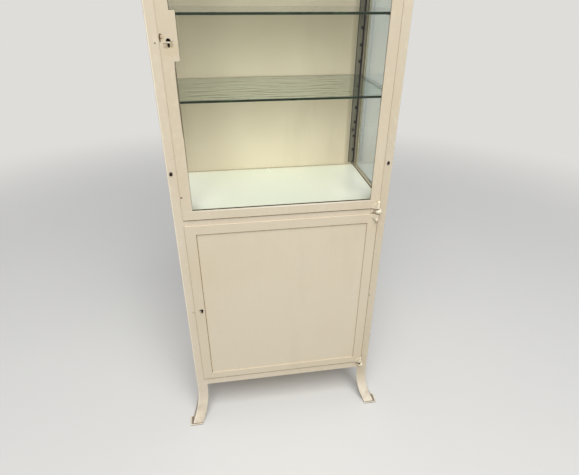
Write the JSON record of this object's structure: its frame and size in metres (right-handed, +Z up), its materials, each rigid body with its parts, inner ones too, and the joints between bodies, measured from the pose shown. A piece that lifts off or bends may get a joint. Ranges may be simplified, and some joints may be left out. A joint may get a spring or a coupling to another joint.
{
  "type": "medical cabinet",
  "caption": "Enamelled steel clinic cabinet on splayed legs: glazed case with movable glass shelves and a lockable glass door, above a closed cupboard with its own lockable door.",
  "frame": {"origin": "on the floor, under the middle of the cabinet", "axes": "+Z up, +Y from the front to the back, +X to the right as seen from the front"},
  "size_m": [0.672, 0.422, 1.6855],
  "materials": {
    "frame_enamel": "old cream enamel, satin, worn at edges",
    "door_enamel": "old cream enamel, satin, chipped round the keyholes",
    "sheet_enamel": "old cream enamel, satin",
    "pad_enamel": "cream enamel with rusty rim",
    "clear_glass": "clear window glass",
    "shelf_glass": "clear plate glass with dark green edges",
    "opal_glass": "white milk glass, glossy",
    "strip_steel": "bare dull steel, browned",
    "rod_steel": "bare dull steel, browned",
    "screw_steel": "browned steel",
    "pin_steel": "plain steel",
    "lock_steel": "plain steel"
  },
  "bodies": {
    "cabinet": {"front_left_post": "frame_enamel", "front_left_foot_pad": "pad_enamel", "front_left_shelf_strip": "strip_steel", "front_right_post": "frame_enamel", "front_right_foot_pad": "pad_enamel", "front_right_shelf_strip": "strip_steel", "rear_left_post": "frame_enamel", "rear_left_foot_pad": "pad_enamel", "rear_left_shelf_strip": "strip_steel", "rear_right_post": "frame_enamel", "rear_right_foot_pad": "pad_enamel", "rear_right_shelf_strip": "strip_steel", "bottom_front_rail": "frame_enamel", "bottom_rear_rail": "frame_enamel", "bottom_left_rail": "frame_enamel", "bottom_right_rail": "frame_enamel", "middle_front_rail": "frame_enamel", "middle_rear_rail": "frame_enamel", "middle_left_rail": "frame_enamel", "middle_right_rail": "frame_enamel", "top_front_rail": "frame_enamel", "top_rear_rail": "frame_enamel", "top_left_rail": "frame_enamel", "top_right_rail": "frame_enamel", "roof_panel": "sheet_enamel", "middle_floor": "sheet_enamel", "bottom_floor": "sheet_enamel", "lower_back_panel": "sheet_enamel", "upper_back_panel": "sheet_enamel", "left_lower_panel": "sheet_enamel", "right_lower_panel": "sheet_enamel", "back_panel_beads": "sheet_enamel", "side_glass_beads": "sheet_enamel", "left_side_glass": "clear_glass", "right_side_glass": "clear_glass", "opal_glass_plate": "opal_glass", "strip_screws": "screw_steel", "lower_shelf_rods": "rod_steel", "middle_shelf_rods": "rod_steel", "top_shelf_rods": "rod_steel", "top_hinge_lug": "frame_enamel", "middle_hinge_lug": "frame_enamel", "bottom_hinge_lug": "frame_enamel", "hinge_pins": "pin_steel", "lock_keepers": "lock_steel"},
    "upper_door": {"upper_door_frame": "door_enamel", "upper_lock_plate": "door_enamel", "upper_door_glass": "clear_glass", "upper_door_beads": "door_enamel", "upper_lock_case": "lock_steel", "upper_door_knuckles": "door_enamel"},
    "lower_door": {"lower_door_frame": "door_enamel", "lower_door_panel": "door_enamel", "lower_lock_case": "lock_steel", "lower_door_knuckles": "door_enamel"},
    "upper_bolt": {"upper_lock_bolt": "lock_steel"},
    "lower_bolt": {"lower_lock_bolt": "lock_steel"},
    "lower_shelf": {"lower_glass_shelf": "shelf_glass"},
    "middle_shelf": {"middle_glass_shelf": "shelf_glass"},
    "top_shelf": {"top_glass_shelf": "shelf_glass"}
  },
  "joints": [
    {"name": "upper_door_hinge", "type": "hinge", "parent": "cabinet", "child": "upper_door", "pos_m": [0.27, -0.1695, 1.219], "axis": [0, 0, 1], "range_deg": [0, 170]},
    {"name": "lower_door_hinge", "type": "hinge", "parent": "cabinet", "child": "lower_door", "pos_m": [0.27, -0.1695, 0.4675], "axis": [0, 0, 1], "range_deg": [0, 170]},
    {"name": "upper_bolt_slide", "type": "slide", "parent": "upper_door", "child": "upper_bolt", "axis": [-1, 0, 0], "range_m": [0, 0.007]},
    {"name": "lower_bolt_slide", "type": "slide", "parent": "lower_door", "child": "lower_bolt", "axis": [-1, 0, 0], "range_m": [0, 0.007]},
    {"name": "lower_shelf_lift", "type": "slide", "parent": "cabinet", "child": "lower_shelf", "axis": [0, 0, 1], "range_m": [0, 0.03]},
    {"name": "middle_shelf_lift", "type": "slide", "parent": "cabinet", "child": "middle_shelf", "axis": [0, 0, 1], "range_m": [0, 0.03]},
    {"name": "top_shelf_lift", "type": "slide", "parent": "cabinet", "child": "top_shelf", "axis": [0, 0, 1], "range_m": [0, 0.03]}
  ]
}
